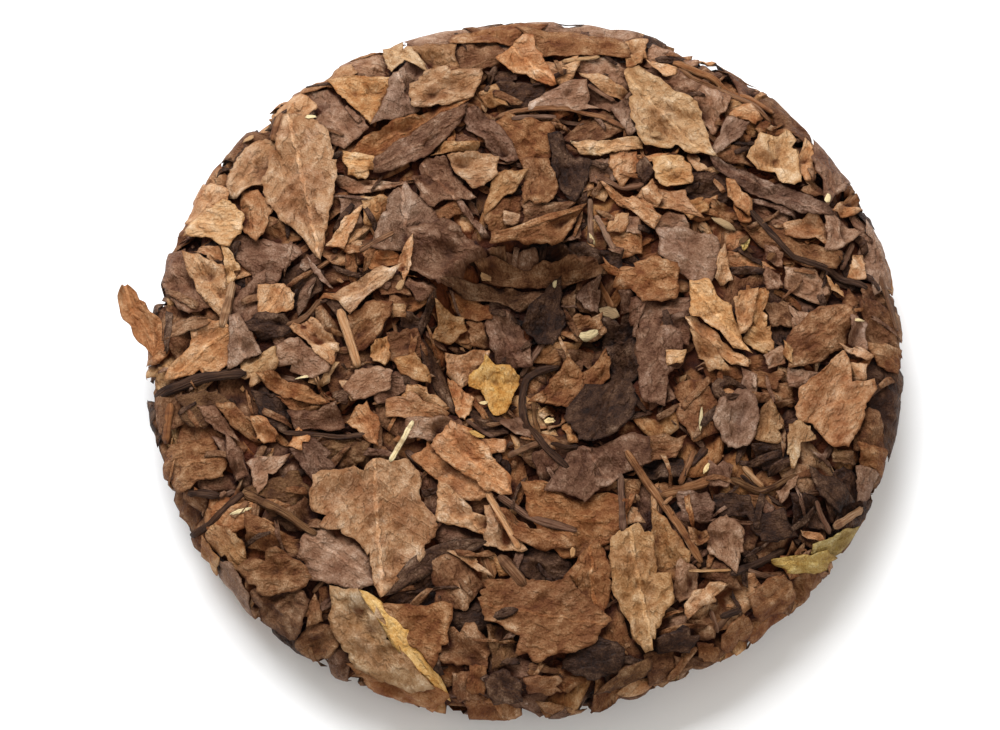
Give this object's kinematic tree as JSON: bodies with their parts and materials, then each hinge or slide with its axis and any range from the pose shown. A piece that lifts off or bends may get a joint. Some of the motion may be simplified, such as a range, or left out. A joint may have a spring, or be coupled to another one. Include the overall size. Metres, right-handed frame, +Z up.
{
  "type": "pressed white tea cake",
  "caption": "Round cake of pressed white tea: dried leaves, torn pieces and stalks in one firm disc with a hollow in its upper side, broken up for brewing.",
  "frame": {"origin": "centre of the flat face that the cake rests on, under the middle of the cake", "axes": "+Z up, square to the rest face and towards the side with the hollow; +Y to the side that is farthest from the viewer; +X to the viewer's right"},
  "size_m": [0.2097, 0.2006, 0.0308],
  "materials": {
    "dried_leaf": null
  },
  "bodies": {
    "root": {"tea_cake": "dried_leaf"}
  },
  "joints": []
}
